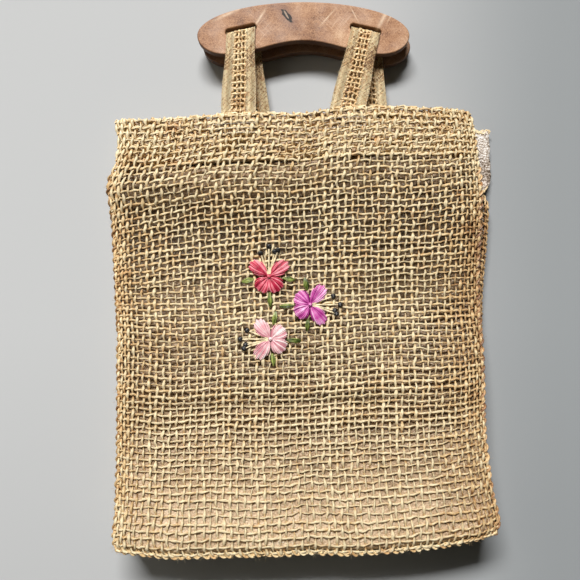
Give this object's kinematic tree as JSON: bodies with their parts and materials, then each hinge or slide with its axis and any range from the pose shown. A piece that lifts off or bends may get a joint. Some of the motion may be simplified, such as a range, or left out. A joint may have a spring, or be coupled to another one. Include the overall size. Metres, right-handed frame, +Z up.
{
  "type": "straw tote bag",
  "caption": "Flat-lying woven straw tote with wooden board handles on webbing straps, a thin lining and raised flower embroidery.",
  "frame": {"origin": "bottom centre of the bounding box, on the surface that the bag lies on", "axes": "+X across the bag, +Y from its base to its handles, +Z up, off the surface it lies on"},
  "size_m": [0.3726, 0.5282, 0.0498],
  "materials": {
    "straw_cloth": "open plain weave of twisted raffia-like yarn, matt",
    "lining_film": "thin crinkled milky film, faintly glossy",
    "webbing": "woven straw tape, herringbone edges and an open ladder middle",
    "handle_wood": "stained, satin varnish, lightly scratched",
    "coral_raffia": "satin stitch, slightly shiny",
    "magenta_raffia": "satin stitch, slightly shiny",
    "pink_raffia": "satin stitch, slightly shiny"
  },
  "bodies": {
    "root": {"front_panel": "straw_cloth", "back_panel": "straw_cloth", "gusset": "straw_cloth", "lining_front": "lining_film", "lining_back": "lining_film", "lining_gusset": "lining_film", "handle_front": "handle_wood", "handle_back": "handle_wood", "strap_front_left": "webbing", "strap_front_right": "webbing", "strap_back_left": "webbing", "strap_back_right": "webbing", "flower_coral": "coral_raffia", "flower_magenta": "magenta_raffia", "flower_pink": "pink_raffia"}
  },
  "joints": []
}
